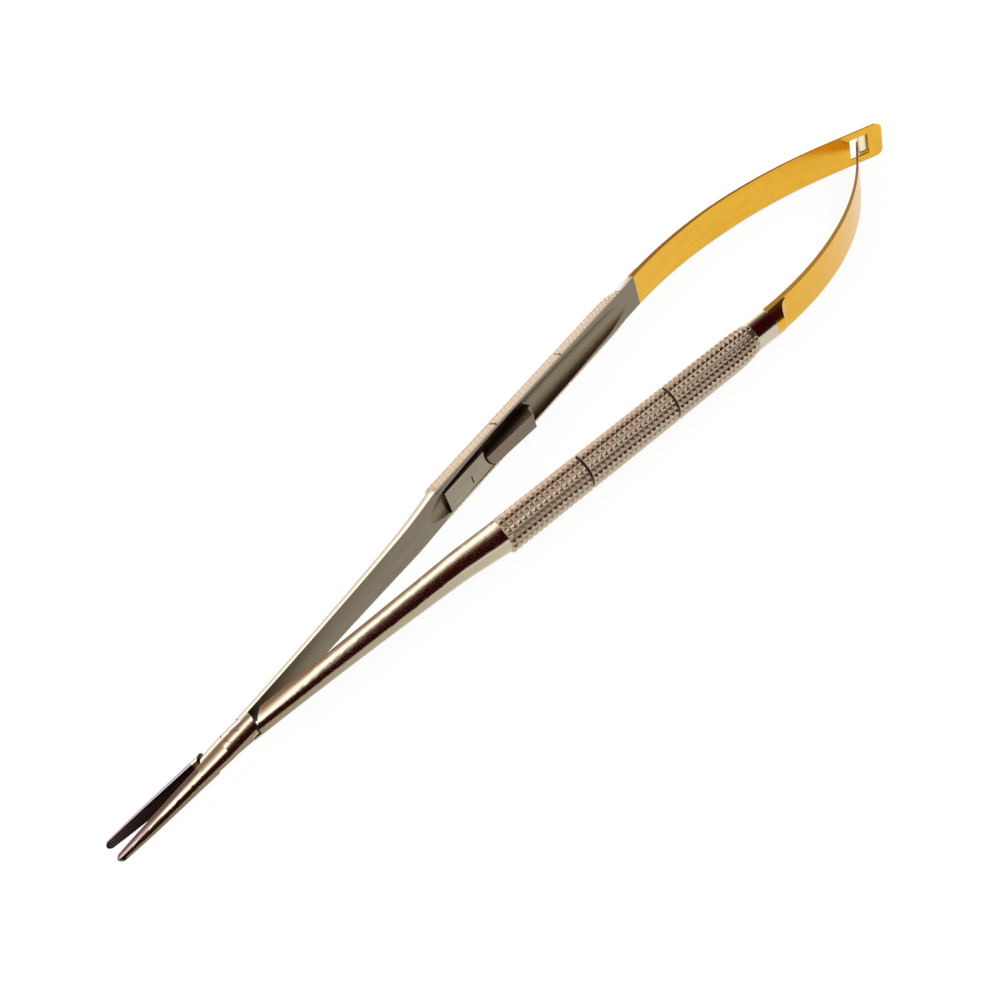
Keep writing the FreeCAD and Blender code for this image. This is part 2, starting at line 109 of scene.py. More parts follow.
# %% [markdown]
# ## From arrays to meshes
# A mesh is three arrays: places, the corners of its faces, and the direction that each corner shades from.
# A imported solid's copy keeps the shading directions of its true surfaces, so that polished rounds stay
# smooth. A knurl wants the opposite: every facet flat. One builder takes both, as a list of parts, and
# welds what touches.

# %% Mesh builder
WELD = 1e-4 * MM


def facet_normals(points, faces):
    """The flat direction of each face, once per corner: the cross product of its diagonals."""
    a, b = points[faces[:, 2]] - points[faces[:, 0]], points[faces[:, -1]] - points[faces[:, 1]]
    if faces.shape[1] == 3:
        a, b = points[faces[:, 1]] - points[faces[:, 0]], points[faces[:, 2]] - points[faces[:, 0]]
    normal = np.cross(a, b)
    normal /= np.linalg.norm(normal, axis=1)[:, None] + 1e-20
    return np.repeat(normal, faces.shape[1], axis=0)


def make_piece(name, parts, materials):
    """One object, placed by its mesh, from parts: points, faces, corner normals or None, material number.

    Points that fall on the same cell of the weld grid become one, and a face that loses an edge by that is
    left out.
    """
    points, corners, totals, normals, finishes, base = [], [], [], [], [], 0
    for part_points, faces, part_normals, finish in parts:
        points.append(part_points)
        corners.append((faces + base).ravel())
        totals.append(np.full(len(faces), faces.shape[1]))
        normals.append(facet_normals(part_points, faces) if part_normals is None else part_normals)
        finishes.append(np.broadcast_to(finish, len(faces)))
        base += len(part_points)
    points, corners, totals = np.concatenate(points), np.concatenate(corners), np.concatenate(totals)
    key = np.round(points / WELD).astype(np.int64)
    _, first, weld = np.unique(key, axis=0, return_index=True, return_inverse=True)
    points, corners = points[first], weld.ravel()[corners]
    owner, starts = np.repeat(np.arange(len(totals)), totals), np.cumsum(totals) - totals
    following = np.arange(len(corners)) + 1
    following[starts + totals - 1] = starts
    flat = np.bincount(owner, corners == corners[following], len(totals)) > 0
    corners, totals = corners[~flat[owner]], totals[~flat]
    normals, finishes = np.concatenate(normals)[~flat[owner]], np.concatenate(finishes)[~flat]
    mesh = bpy.data.meshes.new(name)
    mesh.vertices.add(len(points))
    mesh.vertices.foreach_set("co", points.astype(np.float32).ravel())
    mesh.loops.add(len(corners))
    mesh.loops.foreach_set("vertex_index", corners.astype(np.int32))
    mesh.polygons.add(len(totals))
    mesh.polygons.foreach_set("loop_start", (np.cumsum(totals) - totals).astype(np.int32))
    mesh.polygons.foreach_set("material_index", finishes.astype(np.int32))
    mesh.update(calc_edges=True)
    mesh.normals_split_custom_set(normals.tolist())
    for material in materials:
        mesh.materials.append(material)
    piece = bpy.data.objects.new(name, mesh)
    bpy.context.scene.collection.objects.link(piece)
    print(name, "points", len(points), "faces", len(totals))
    return piece


def solid_of(node):
    """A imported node's points, triangles and corner normals as arrays."""
    mesh = frame["nodes"][node].data
    points = np.empty(len(mesh.vertices) * 3, np.float32)
    mesh.vertices.foreach_get("co", points)
    corners = np.empty(len(mesh.loops), np.int32)
    mesh.loops.foreach_get("vertex_index", corners)
    normals = np.empty(len(mesh.loops) * 3, np.float32)
    mesh.corner_normals.foreach_get("vector", normals)
    return points.reshape(-1, 3).astype(float), corners.reshape(-1, 3), normals.reshape(-1, 3)


print("builder ready")

# %% [markdown]
# ## Camera
# The portrait is taken from the front right, about 40 degrees up, with a short telephoto held at a slant.
# The camera's place and turn were worked out from the tool's outline, so the render lies on the same
# pixels.

# %% Camera
CAMERA_PLACE = np.array([-16.65, -113.40, 110.31])
AZIMUTH, ELEVATION, ROLL, LENS = -30.831, 40.203, -22.166, 40.994


def turned_basis(azimuth, elevation, roll):
    """Right, up and back of a camera: it looks down along back, and is rolled about it."""
    a, e, r = map(math.radians, (azimuth, elevation, roll))
    back = Vector((math.sin(a) * math.cos(e), -math.cos(a) * math.cos(e), math.sin(e)))
    level = (-back).cross(Vector((0, 0, 1))).normalized()
    upright = level.cross(-back)
    right = math.cos(r) * level + math.sin(r) * upright
    up = -math.sin(r) * level + math.cos(r) * upright
    return right, up, back


camera = bpy.data.objects.new("camera", bpy.data.cameras.new("camera"))
bpy.context.scene.collection.objects.link(camera)
right, up, back = turned_basis(AZIMUTH, ELEVATION, ROLL)
place = Vector(PIVOT + CAMERA_PLACE * MM)
camera.matrix_world = Matrix.Translation(place) @ Matrix((right, up, back)).transposed().to_4x4()
camera.data.sensor_width = 36
camera.data.lens = LENS
camera.data.clip_start = 0.005
bpy.context.scene.camera = camera
print("camera", [round(x, 4) for x in place], "lens", camera.data.lens)

# %% [markdown]
# ## Finishes
# Steel and gilt are metals, so their look is colour, roughness and what they mirror. Each finish starts
# from one helper that breaks the colour and the roughness up with fine noise, drawn out along the piece for
# a brushed grain, because no real polish is even. Fixed numbers sit on the shader itself.

# %% Metal finish helper
BRUSHED, FINE_GRAIN, LEAST_ROUGHNESS, BUMP_HEIGHT = (60, 900, 900), 3000, 0.02, 0.05 * MM


def metal(name, colour, roughness, spread, shade, bump=0.0):
    """A metal whose colour darkens by up to shade, and whose roughness wanders by spread, along a noise.

    The noise is finer across the tool than along it. Where bump is given, a second, even noise raises the
    surface by a hair.
    """
    material = bpy.data.materials.new(name)
    material.use_nodes = True
    nodes, links = material.node_tree.nodes, material.node_tree.links
    shader = nodes["Principled BSDF"]
    shader.inputs["Metallic"].default_value = 1.0
    where = nodes.new("ShaderNodeTexCoord")
    stretch = nodes.new("ShaderNodeMapping")
    stretch.inputs["Scale"].default_value = BRUSHED
    noise = nodes.new("ShaderNodeTexNoise")
    noise.inputs["Scale"].default_value = 1.0
    noise.inputs["Detail"].default_value = 4.0
    links.new(where.outputs["Object"], stretch.inputs["Vector"])
    links.new(stretch.outputs["Vector"], noise.inputs["Vector"])
    ramp = nodes.new("ShaderNodeValToRGB")
    ramp.color_ramp.elements[0].position = 0.3
    ramp.color_ramp.elements[1].position = 0.7
    ramp.color_ramp.elements[0].color = (*[c * (1 - shade) for c in colour], 1)
    ramp.color_ramp.elements[1].color = (*colour, 1)
    links.new(noise.outputs["Fac"], ramp.inputs["Fac"])
    links.new(ramp.outputs["Color"], shader.inputs["Base Color"])
    wander = nodes.new("ShaderNodeMapRange")
    wander.inputs["To Min"].default_value = max(roughness - spread, LEAST_ROUGHNESS)
    wander.inputs["To Max"].default_value = roughness + spread
    links.new(noise.outputs["Fac"], wander.inputs["Value"])
    links.new(wander.outputs["Result"], shader.inputs["Roughness"])
    if bump:
        fine = nodes.new("ShaderNodeTexNoise")
        fine.inputs["Scale"].default_value = FINE_GRAIN
        fine.inputs["Detail"].default_value = 2.0
        links.new(where.outputs["Object"], fine.inputs["Vector"])
        relief = nodes.new("ShaderNodeBump")
        relief.inputs["Strength"].default_value = bump
        relief.inputs["Distance"].default_value = BUMP_HEIGHT
        links.new(fine.outputs["Fac"], relief.inputs["Height"])
        links.new(relief.outputs["Normal"], shader.inputs["Normal"])
    return material


POLISHED = metal("polished_steel", (0.62, 0.55, 0.43), 0.17, 0.03, 0.08)
# Painted shade: the satin flats and the flute are coloured far darker than the polished steel, standing in
# for the dark surroundings they mirror; their roughness and grain are the real satin finish.
SATIN_SHADED = metal("satin_steel_painted_shade", (0.27, 0.23, 0.165), 0.40, 0.06, 0.18, bump=0.15)
KNURLED = metal("knurled_steel", (0.60, 0.485, 0.36), 0.40, 0.05, 0.15, bump=0.1)
FLUTED_SHADED = metal("fluted_steel_painted_shade", (0.25, 0.20, 0.125), 0.38, 0.05, 0.15, bump=0.1)
# Painted shade: the ring grooves are coloured far darker than the knurl, as shade in the recess.
GROOVE_SHADE = metal("groove_painted_shade", (0.15, 0.12, 0.09), 0.45, 0.05, 0.2)
# Painted shade: the joint's gap faces are near black, as little light gets in there.
SHADED = metal("joint_gap_painted_shade", (0.02, 0.016, 0.012), 0.5, 0.05, 0.2)
ARM_FINISHES = [POLISHED, SATIN_SHADED, KNURLED, FLUTED_SHADED, GROOVE_SHADE, SHADED]
ON_ROUND, ON_FLAT, ON_KNURL, ON_FLUTE, ON_GROOVE_SHADE, ON_GAP_SHADE = range(len(ARM_FINISHES))
print("finishes", [material.name for material in ARM_FINISHES])

# %% [markdown]
# ## The knurled grip
# The handle's back is cut into square pyramids, about 1 mm each way: 53 rows along and ten around, with two
# deeper ring grooves as finger marks. A bump map would leave the outline smooth, so the pyramids are
# modelled. Each one is eight points: four in the valleys, four round a small worn top. The flat cuts the
# outer rows in half. Inside, the sleeve is hollow down to a core radius, which just clears the corner of
# the catch pocket, where the pawl swings.

# %% Knurl sizes
KNURL_START, KNURL_END, TAPER = 45.2, 98.0, 5.3
CREST, FERRULE, SHANK_END, CORE = 3.38, 2.85, 3.02, 2.845
RELIEF, PITCH, DEPTH, ROWS = 0.97, 1.0, 0.25, 10
RINGS, RING_DEPTH, RING_HALF = (61.3, 79.5), 0.52, 0.2
TOP_SHARE, EDGE_SHARE, LEAST_DEPTH, FLAT_SINK = 0.13, 0.3, 0.02, 0.004
QUARTER_TURN, NEARLY = math.pi / 2, 1e-6


def crest_radius(u):
    """Straight, then drawn in towards the ferrule with the square of the way along."""
    part = np.clip((u - (KNURL_END - TAPER)) / TAPER, 0, 1)
    return CREST - (CREST - FERRULE) * part ** 2


def valley_radius(u):
    """One knurl depth below the crests, but flush with the shank and the ferrule at the ends."""
    radius = np.maximum(crest_radius(u) - DEPTH, CORE + LEAST_DEPTH)
    radius = np.where(u <= KNURL_START + NEARLY, SHANK_END, radius)
    return np.where(u >= KNURL_END - NEARLY, FERRULE, radius)


def knurl_rows():
    """Front and rear of every row of pyramids; beside a ring groove the rows draw back a little."""
    stops = (KNURL_START, *RINGS, KNURL_END)
    fronts, rears = [], []
    for start, end in zip(stops, stops[1:]):
        edges = np.linspace(start, end, round((end - start) / PITCH) + 1)
        front, rear = edges[:-1].copy(), edges[1:].copy()
        front[0] += RING_HALF if start in RINGS else 0
        rear[-1] -= RING_HALF if end in RINGS else 0
        fronts.append(front)
        rears.append(rear)
    return np.concatenate(fronts), np.concatenate(rears)


print("rows along", len(knurl_rows()[0]))

# %% Knurl surface
def knurl_parts(side):
    """A closed sleeve of truncated pyramids.

    Pyramid (i, j): four valley points at its corners, and four crest points that lie TOP_SHARE of the way
    either side of its middle. The outer half rows end at the flat, where an upright face closes the sleeve,
    and a core of radius CORE closes it inside.
    """
    front, rear = knurl_rows()
    step = math.pi / ROWS
    edges = np.concatenate([[-QUARTER_TURN], -QUARTER_TURN + step * (np.arange(ROWS) + 0.5), [QUARTER_TURN]])
    low, high = edges[:-1], edges[1:]
    middle = (low + high) / 2
    middle[0], middle[-1] = -QUARTER_TURN, QUARTER_TURN
    top_low = np.maximum(middle - step * TOP_SHARE, -QUARTER_TURN)
    top_high = np.minimum(middle + step * TOP_SHARE, QUARTER_TURN)
    u_mid, half = (front + rear) / 2, (rear - front) * TOP_SHARE

    def ring(u, angle, radius):
        """Places on a round about the handle's axis; at the flat they sink a hair, so no faces coincide."""
        u, angle, radius = np.broadcast_arrays(u, angle, radius)
        v = RELIEF + radius * np.cos(angle) - FLAT_SINK * (np.abs(angle) > QUARTER_TURN - NEARLY)
        return from_arm(side, u, v, radius * np.sin(angle))

    f, r, m, h = (a[:, None] for a in (front, rear, u_mid, half))
    worn = np.where(np.abs(middle) > QUARTER_TURN - NEARLY, EDGE_SHARE, 1.0)
    crest = crest_radius(m) - (1 - worn) * DEPTH
    corners = [ring(f, low, valley_radius(f)), ring(r, low, valley_radius(r)),
               ring(r, high, valley_radius(r)), ring(f, high, valley_radius(f)),
               ring(m - h, top_low, crest), ring(m + h, top_low, crest),
               ring(m + h, top_high, crest), ring(m - h, top_high, crest)]
    count = corners[0].shape[0] * corners[0].shape[1]
    points = np.stack([c.reshape(-1, 3) for c in corners], 1).reshape(-1, 3)
    first = np.arange(count)[:, None] * len(corners)
    quads = np.array([[0, 1, 5, 4], [1, 2, 6, 5], [2, 3, 7, 6], [3, 0, 4, 7], [4, 5, 6, 7]])
    column = np.tile(np.arange(len(low)), len(front))
    faces = []
    for number, quad in enumerate(quads):
        # The sides that would stand in the flat's own plane are left out: the cut edge below closes them.
        at_flat = {0: column == 0, 2: column == len(low) - 1}.get(number, np.zeros(count, bool))
        faces.append((first + quad)[~at_flat])
    parts = [(points, np.concatenate(faces), None, ON_KNURL)]
    # Grooves: two slopes that meet RING_DEPTH below the crest, coloured dark as painted shade.
    for place in RINGS:
        across = np.array([place - RING_HALF, place, place + RING_HALF])
        radius = np.array([CREST - DEPTH, CREST - RING_DEPTH, CREST - DEPTH])
        grid = ring(across[:, None], edges[None, :], radius[:, None])
        parts.append((grid.reshape(-1, 3), grid_faces(3, len(edges)), None, ON_GROOVE_SHADE))
    # The cut edge in the flat's plane, the core and the two ends.
    rail_u, rail_r = edge_profile(front, rear, u_mid, half)
    for angle, order in ((-QUARTER_TURN, 1), (QUARTER_TURN, -1)):
        rail = np.stack([ring(rail_u, angle, rail_r), ring(rail_u, angle, CORE)])
        parts.append((rail.reshape(-1, 3), grid_faces(2, len(rail_u))[:, ::order], None, ON_KNURL))
    core = ring(rail_u[:, None], edges[None, :], CORE)
    parts.append((core.reshape(-1, 3), grid_faces(len(rail_u), len(edges))[:, ::-1], None, ON_KNURL))
    for place, radius, order in ((KNURL_START, SHANK_END, -1), (KNURL_END, FERRULE, 1)):
        end = np.stack([ring(place, edges, radius), ring(place, edges, CORE)])
        parts.append((end.reshape(-1, 3), grid_faces(2, len(edges))[:, ::order], None, ON_KNURL))
    if side < 0:
        # The right arm is mirrored, so its faces are turned round again to point outwards.
        parts = [(p, f[:, ::-1], n, m) for p, f, n, m in parts]
    return parts


def grid_faces(rows, columns):
    """Quads of a grid whose points run row by row."""
    a = (np.arange(rows - 1)[:, None] * columns + np.arange(columns - 1)).ravel()
    return np.stack([a, a + columns, a + columns + 1, a + 1], 1)


def edge_profile(front, rear, middle, half):
    """The sawtooth that the flat cuts through the half rows: valley, crest, crest, valley each time."""
    u = np.stack([front, middle - half, middle + half, rear], 1).ravel()
    crest = crest_radius(middle) - (1 - EDGE_SHARE) * DEPTH
    radius = np.stack([valley_radius(front), crest, crest, valley_radius(rear)], 1).ravel()
    for place in RINGS:
        at = np.searchsorted(u, place)
        u, radius = np.insert(u, at, place), np.insert(radius, at, CREST - RING_DEPTH)
    return u, radius


# %% [markdown]
# ## The two arms
# Each arm is one forging: jaw, half of the lap joint, polished shank and knurled handle. The imported solid
# has the right joint, flats, flute and catch pocket, but only plain ridges on the grip. So its copy keeps
# everything, except that the ridges are pressed in below the knurl, and the knurled sleeve goes over them.
# The inner flats were ground and left satin, their colour darkened as painted shade; the rounds were
# polished.

# %% Arms
END_MARGIN, RIDGE_LEAST, RIDGE_PRESSED = 0.02, CORE + 0.055, CORE + 0.005
FLAT_START, FLUTE_START, POCKET_START, POCKET_END, POCKET_REACH = 2, 38, 46, 97, 2.6
FLAT_TURN, FLUTE_TURN, FLUTE_PLANE = -0.6, -0.985, -1.0
GAP_REACH, GAP_LEAN, GAP_RISE = 8, 0.4, 0.3


def face_normals(normals):
    """The mean of the three corner normals of each triangle."""
    return normals.reshape(-1, 3, 3).mean(1)


def arm_parts(node, side):
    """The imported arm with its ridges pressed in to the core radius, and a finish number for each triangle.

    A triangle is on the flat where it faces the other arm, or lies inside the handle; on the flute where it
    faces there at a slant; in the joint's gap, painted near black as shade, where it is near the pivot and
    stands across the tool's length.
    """
    points, triangles, normals = solid_of(node)
    u, v, z = to_arm(side, points)
    reach = np.hypot(v - RELIEF, z)
    ridged = (u > KNURL_START + END_MARGIN) & (u < KNURL_END - END_MARGIN) & (reach > RIDGE_LEAST)
    scale = np.where(ridged, RIDGE_PRESSED / np.maximum(reach, NEARLY), 1.0)
    points = from_arm(side, u, RELIEF + (v - RELIEF) * scale, z * scale)
    face_u, face_v, face_z = (place[triangles].mean(1) for place in (u, v, z))
    facing = face_normals(normals)
    outwards = (from_arm(side, 0.0, 1.0, 0.0) - from_arm(side, 0.0, 0.0, 0.0)) / MM
    across = facing @ outwards
    inside = np.hypot(face_v - RELIEF, face_z) < POCKET_REACH
    pocket = (face_u > POCKET_START) & (face_u < POCKET_END) & inside
    flat = (face_u > FLAT_START) & ((across < FLAT_TURN) | pocket)
    flute = flat & (face_u > FLUTE_START) & (across > FLUTE_TURN) & (face_v > FLUTE_PLANE)
    gap_shade = (np.abs(face_u) < GAP_REACH) & (np.abs(facing[:, 0]) > GAP_LEAN) & (np.abs(facing[:, 2]) < GAP_RISE)
    return points, triangles, normals, np.select([gap_shade, flute, flat], [ON_GAP_SHADE, ON_FLUTE, ON_FLAT], ON_ROUND)


left_arm = make_piece("left_arm_dressed", [arm_parts("left_arm", 1)] + knurl_parts(1), ARM_FINISHES)
right_arm = make_piece("right_arm_dressed", [arm_parts("right_arm", -1)] + knurl_parts(-1), ARM_FINISHES)
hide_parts("left_arm")
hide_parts("right_arm")
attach(left_arm, "left_half")
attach(right_arm, "right_half")

# %% [markdown]
# ## Jaw inserts
# The inserts are hard metal, nearly black, and their bite is cut crosswise into tiny teeth that hold the
# needle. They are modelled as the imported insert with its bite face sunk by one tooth, and a plate of
# pyramids on it. The plate narrows with the jaw, so its grid is drawn in with the outline.

# %% Insert teeth
TOOTH_START, JAW_TIP, TOOTH_SINK, TOOTH_ROWS, TOOTH_PITCH = 9.0, 21.1, 0.07, 9, 0.32
TOOTH_TIP, TOOTH_MARGIN, PLATE, BITE_PLANE, BITE_SINK, EDGE_TURN = 0.006, 0.06, 0.12, 0.01, 0.09, 0.9
JAW_PROFILE = np.array([(3.0, 1.82), (6.5, 1.58), (12.0, 1.30), (20.65, 0.74)])
ROUND_START, ROUND_LENGTH = 20.65, 0.75
INSERT = metal("hard_metal", (0.05, 0.034, 0.034), 0.30, 0.06, 0.3, bump=0.2)
INSERT_EDGE = metal("ground_insert_edge", (0.42, 0.33, 0.33), 0.2, 0.03, 0.1)
INSERT_HEEL = metal("smooth_insert_heel", (0.14, 0.09, 0.09), 0.24, 0.04, 0.15)
INSERT_FINISHES = [INSERT, INSERT_EDGE, INSERT_HEEL]
ON_TEETH, ON_EDGE, ON_HEEL = range(len(INSERT_FINISHES))


def jaw_width(s):
    """Half the bite's width: the jaw's profile, rounded off at the tip like a quarter ellipse."""
    body = np.interp(s, *JAW_PROFILE.T)
    part = np.clip((s - ROUND_START) / ROUND_LENGTH, 0, 1)
    return body * np.sqrt(1 - part ** 2)


def teeth_parts(side):
    """A closed plate: pyramids whose tips lie in the bite plane, over a flat back sunk below them."""
    count = round((JAW_TIP - TOOTH_START) / TOOTH_PITCH)
    s = np.linspace(TOOTH_START, JAW_TIP, count + 1)
    t = np.linspace(-1, 1, TOOTH_ROWS + 1)
    width = jaw_width(s) - TOOTH_MARGIN
    base = from_jaw(side, s[:, None] + 0 * t, np.full((len(s), len(t)), TOOTH_SINK), width[:, None] * t)
    mid_s, mid_t = (s[:-1] + s[1:]) / 2, (t[:-1] + t[1:]) / 2
    mid_width = jaw_width(mid_s) - TOOTH_MARGIN
    tips = from_jaw(side, mid_s[:, None] + 0 * mid_t, np.full((len(mid_s), len(mid_t)), TOOTH_TIP),
                    mid_width[:, None] * mid_t)
    back = base + (from_jaw(side, 0.0, PLATE, 0.0) - from_jaw(side, 0.0, 0.0, 0.0))
    a = grid_faces(len(s), len(t))
    apex = len(s) * len(t) + np.arange(len(a))
    points = np.concatenate([base.reshape(-1, 3), tips.reshape(-1, 3)])
    faces = np.concatenate([np.stack([a[:, i], a[:, (i + 1) % 4], apex], 1) for i in range(4)])
    parts = [(points, faces[:, ::side], None, ON_TEETH), (back.reshape(-1, 3), a[:, ::-side], None, ON_TEETH)]
    rim_top = np.concatenate([base[:, 0], base[-1, 1:], base[-2::-1, -1], base[0, -2::-1]])
    rim_back = np.concatenate([back[:, 0], back[-1, 1:], back[-2::-1, -1], back[0, -2::-1]])
    rim = np.stack([rim_top, rim_back])
    parts.append((rim.reshape(-1, 3), grid_faces(2, rim.shape[1])[:, ::side], None, ON_TEETH))
    return parts


def insert_piece(name, node, side, body):
    """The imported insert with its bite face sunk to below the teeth's feet, and the plate of teeth on it."""
    points, triangles, normals = solid_of(node)
    s, v, z = to_jaw(side, points)
    points = from_jaw(side, s, np.where(v < BITE_PLANE, BITE_SINK, v), z)
    outwards = (from_jaw(side, 0.0, 1.0, 0.0) - from_jaw(side, 0.0, 0.0, 0.0)) / MM
    edge = np.abs(face_normals(normals) @ outwards) < EDGE_TURN
    heel = s[triangles].mean(1) < TOOTH_START
    finishes = np.select([edge, heel], [ON_EDGE, ON_HEEL], ON_TEETH)
    piece = make_piece(name, [(points, triangles, normals, finishes)] + teeth_parts(side), INSERT_FINISHES)
    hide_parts(node)
    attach(piece, body)
    return piece


left_insert = insert_piece("left_bite", "left_jaw_insert", 1, "right_half")
right_insert = insert_piece("right_bite", "right_jaw_insert", -1, "left_half")

# %% [markdown]
# ## Leaf springs
# Two gilt leaves push the handles apart. The right one ends in a tongue that hooks through the left one's
# window, so when the tool closes both bend, and stay hooked. Here each leaf is placed where it lies, and is
# not attached to either half.

# %% Springs
GILT = metal("gilt_spring", (0.84, 0.46, 0.045), 0.22, 0.04, 0.10, bump=0.05)
# Painted shade: every face of a leaf turned up or down, its edges and the top of its root, is a darker gilt.
GILT_SHADE = metal("gilt_painted_shade_up_down", (0.33, 0.165, 0.015), 0.4, 0.05, 0.2)
# Painted highlight: the hook's side faces are a pale gold, as where they catch the light.
GILT_HOOK_HIGHLIGHT = metal("gilt_hook_painted_highlight", (0.95, 0.86, 0.62), 0.25, 0.04, 0.08)
LEAF_FINISHES = [GILT, GILT_SHADE, GILT_HOOK_HIGHLIGHT]
ON_LEAF, ON_GILT_SHADE, ON_HOOK_HIGHLIGHT = range(len(LEAF_FINISHES))
HOOK_START, HOOK_RISE, SHADE_RISE, BLEND_REACH = 152.3, 0.5, 0.8, 13


def spring_piece(name, node):
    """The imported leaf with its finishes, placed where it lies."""
    points, triangles, normals = solid_of(node)
    rise, middle = np.abs(face_normals(normals)[:, 2]), points[triangles].mean(1)
    # The hook's side faces take the painted highlight.
    hook_highlight = (node == "right_spring") & (middle[:, 0] > PIVOT[0] + HOOK_START * MM) & (rise < HOOK_RISE)
    # Faces turned up or down take the darker gilt of painted shade.
    finishes = np.select([hook_highlight, rise > SHADE_RISE], [ON_HOOK_HIGHLIGHT, ON_GILT_SHADE], ON_LEAF)
    piece = make_piece(name, [(points, triangles, normals, finishes)], LEAF_FINISHES)
    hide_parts(node)
    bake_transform(piece)
    return piece


left_spring = spring_piece("left_leaf", "left_spring")
right_spring = spring_piece("right_leaf", "right_spring")

# %% [markdown]
# ## Small steel parts
# The catch's block, pawl, pins and tooth are right as packed: flat faces, sharp edges. They only need their
# finish. The block is ground brighter than the flat round it, and the pawl is a little darker.

# %% Small parts
BLOCK = metal("catch_block_steel", (0.37, 0.325, 0.23), 0.36, 0.05, 0.2, bump=0.15)
PAWL = metal("catch_pawl_steel", (0.25, 0.195, 0.14), 0.40, 0.05, 0.15, bump=0.1)
PIN = metal("pin_steel", (0.66, 0.58, 0.50), 0.15, 0.03, 0.10)
for node, material in {"catch_block": BLOCK, "catch_pawl": PAWL, "pivot_pin": PIN, "pawl_pin": PIN,
                       "catch_tooth": BLOCK}.items():
    mesh = frame["nodes"][node].data
    mesh.materials.clear()
    mesh.materials.append(material)
print("small parts dressed")

# %% [markdown]
# ## Light and floor
# Polished steel shows its surroundings, so the studio is part of the finish. The tool lies on a pale floor
# under a white surround, and soft lamps light the floor. The streaks on the steel are painted reflections of
# a
# glowing tunnel that only reflections see: dark in front, a white band above it, then brown, and white again
# behind. The white band climbs towards the handles, as it does in the portrait.

# %% Floor and surround
SURROUND_LIGHT, FULL_WHITE, FLOOR_SIZE = 0.75, 1.0, 4
FLOOR_COLOUR, FLOOR_WHITE = (0.88, 0.88, 0.87, 1), 0.9


def white_for_view(tree, lit, white_share):
    """Mixes a lit shader with the white one that the caller links, for camera, mirror and glass rays only."""
    nodes, links = tree.nodes, tree.links
    path = nodes.new("ShaderNodeLightPath")
    seen = nodes.new("ShaderNodeMath")
    seen.operation = "MAXIMUM"
    links.new(path.outputs["Is Camera Ray"], seen.inputs[0])
    links.new(path.outputs["Is Glossy Ray"], seen.inputs[1])
    either = nodes.new("ShaderNodeMath")
    either.operation = "MAXIMUM"
    links.new(seen.outputs[0], either.inputs[0])
    links.new(path.outputs["Is Transmission Ray"], either.inputs[1])
    share = nodes.new("ShaderNodeMath")
    share.operation = "MULTIPLY"
    share.inputs[1].default_value = white_share
    links.new(either.outputs[0], share.inputs[0])
    mix = nodes.new("ShaderNodeMixShader")
    links.new(share.outputs[0], mix.inputs[0])
    links.new(lit, mix.inputs[1])
    return mix


world = bpy.data.worlds.new("surround")
bpy.context.scene.world = world
world.use_nodes = True
ambient = world.node_tree.nodes["Background"]
ambient.inputs["Color"].default_value = (1, 1, 1, 1)
ambient.inputs["Strength"].default_value = SURROUND_LIGHT
bright = world.node_tree.nodes.new("ShaderNodeBackground")
bright.inputs["Strength"].default_value = FULL_WHITE
bright.inputs["Color"].default_value = (1, 1, 1, 1)
mix = white_for_view(world.node_tree, ambient.outputs[0], FULL_WHITE)
world.node_tree.links.new(bright.outputs[0], mix.inputs[2])
world.node_tree.links.new(mix.outputs[0], world.node_tree.nodes["World Output"].inputs["Surface"])

bpy.ops.mesh.primitive_plane_add(size=FLOOR_SIZE, location=(0, 0, 0))
floor = bpy.context.object
floor.name = "floor"
floor_material = bpy.data.materials.new("pale_floor")
floor_material.use_nodes = True
tree = floor_material.node_tree
tree.nodes.remove(tree.nodes["Principled BSDF"])
matt = tree.nodes.new("ShaderNodeBsdfDiffuse")
matt.inputs["Color"].default_value = FLOOR_COLOUR
glow = tree.nodes.new("ShaderNodeEmission")
glow.inputs["Strength"].default_value = FULL_WHITE
mix = white_for_view(tree, matt.outputs[0], FLOOR_WHITE)
tree.links.new(glow.outputs[0], mix.inputs[2])
tree.links.new(mix.outputs[0], tree.nodes["Material Output"].inputs["Surface"])
floor.data.materials.append(floor_material)
print("floor and surround ready")

# %% Lamps
LAMP_DISTANCE, LAMP_LENGTH, LAMP_WATTS = 0.9, 2.4, 9.0


def facing(place, target):
    """The turn that points a lamp's -Z at the target."""
    return (Vector(target) - Vector(place)).to_track_quat("-Z", "Y").to_euler()


def lamp(name, angle, width):
    """A long soft lamp beside the tool, unseen in the steel: angle is above the horizon at the front (-Y)."""
    a = math.radians(angle)
    place = (0, -LAMP_DISTANCE * math.cos(a), LAMP_DISTANCE * math.sin(a))
    light = bpy.data.lights.new(name, "AREA")
    light.shape, light.size, light.size_y = "RECTANGLE", LAMP_LENGTH, width
    light.energy = LAMP_WATTS
    holder = bpy.data.objects.new(name, light)
    holder.location, holder.rotation_euler = place, facing(place, (0, 0, 0))
    holder.visible_glossy = False
    bpy.context.scene.collection.objects.link(holder)


lamp("front_lamp", 51, 0.42)
lamp("back_lamp", 158, 0.60)
print("lamps ready")

# %% [markdown]
# ## The painted reflection tunnel
# Each card is a glowing grid with a number, band, at every point, and a ramp turns the number into its glow.
# So one list of colours paints the whole tunnel and the reflections it makes on the steel, and the bands may
# be as crooked as they need to be.

# %% Cards
REFLECTION_GLOW, CARD_DISTANCE, TUNNEL_START, TUNNEL_END = 2.4, 100.0, -400, 600


